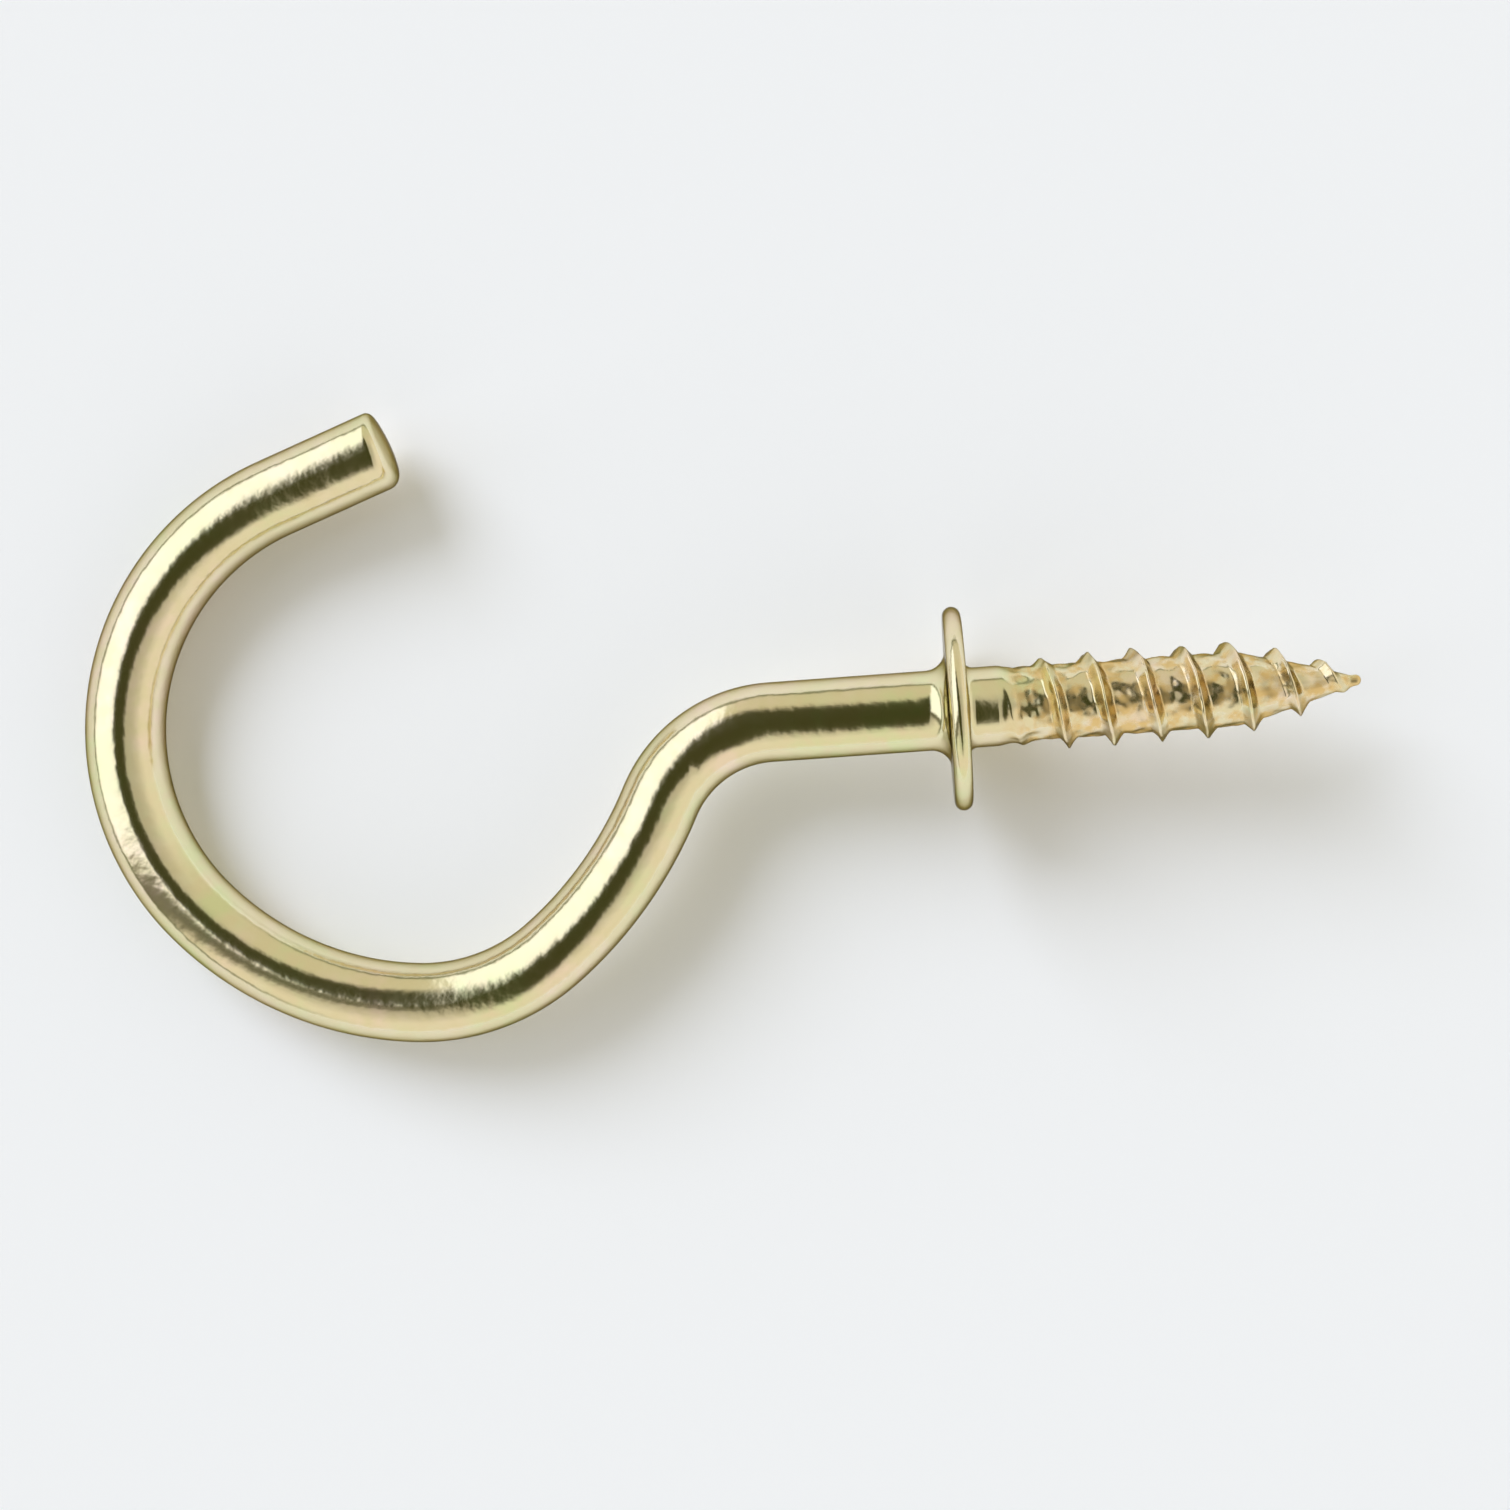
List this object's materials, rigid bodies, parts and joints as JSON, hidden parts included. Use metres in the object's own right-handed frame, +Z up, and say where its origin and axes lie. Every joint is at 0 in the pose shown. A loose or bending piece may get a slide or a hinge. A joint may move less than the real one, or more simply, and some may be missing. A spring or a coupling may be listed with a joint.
{
  "type": "cup hook",
  "caption": "Shouldered cup hook: round wire bent into an open hook, with a thin round collar and a wood screw thread that ends in a gimlet point.",
  "frame": {"origin": "centre of the collar's seating face, where the screw's axis crosses it", "axes": "the hook lies on its side as it comes to rest on a level surface: +X along the screw towards its point, which rises 4.2 degrees because the collar props it up, +Y across the screw to the side of the hook's open mouth, +Z up; the screw's axis is in the XZ plane"},
  "size_m": [0.0384, 0.0193, 0.0061],
  "materials": {
    "plated_brass": "polished"
  },
  "bodies": {
    "root": {"cup_hook": "plated_brass"}
  },
  "joints": []
}
